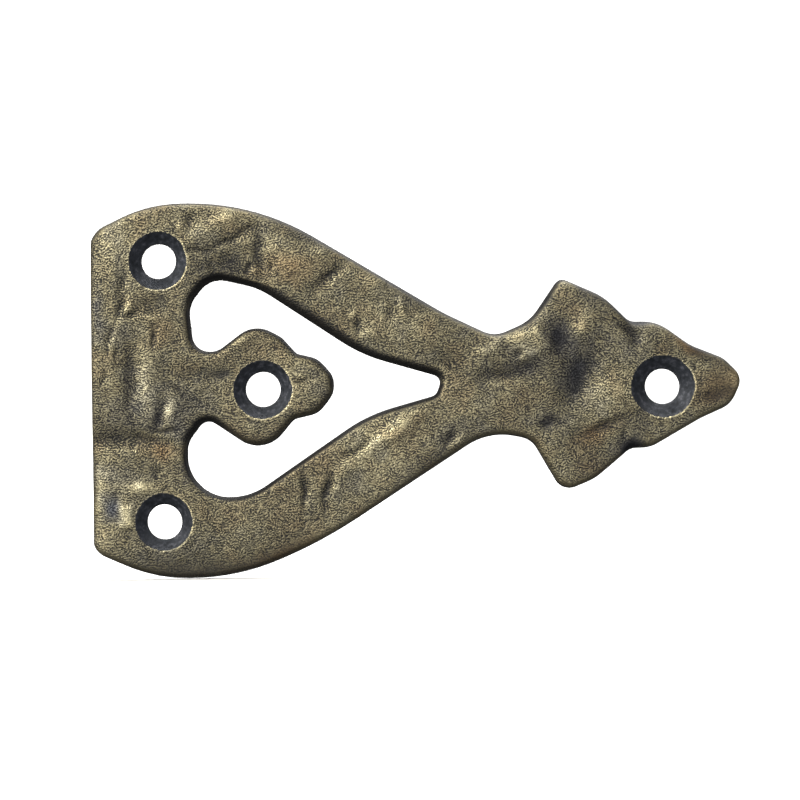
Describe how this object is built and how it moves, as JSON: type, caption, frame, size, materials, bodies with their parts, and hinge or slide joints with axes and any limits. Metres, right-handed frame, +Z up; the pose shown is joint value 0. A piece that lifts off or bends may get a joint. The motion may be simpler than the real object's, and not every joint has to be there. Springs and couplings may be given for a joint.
{
  "type": "decorative hinge front",
  "caption": "Flat cast plate that looks like a short strap hinge, with a heart-shaped gap and a barbed tip, screwed to a door beside a plain hinge.",
  "frame": {"origin": "middle of the straight butt edge, on the flat back face", "axes": "+X along the strap from the butt edge to the tip, +Y out of the flat back towards the door, +Z up; the show face looks along -Y"},
  "size_m": [0.1018, 0.004, 0.059],
  "materials": {
    "antique_brass": "sand-cast with a hammered face, blackened, then rubbed back to dull brass on the high spots"
  },
  "bodies": {
    "root": {"hinge_front_plate": "antique_brass"}
  },
  "joints": []
}
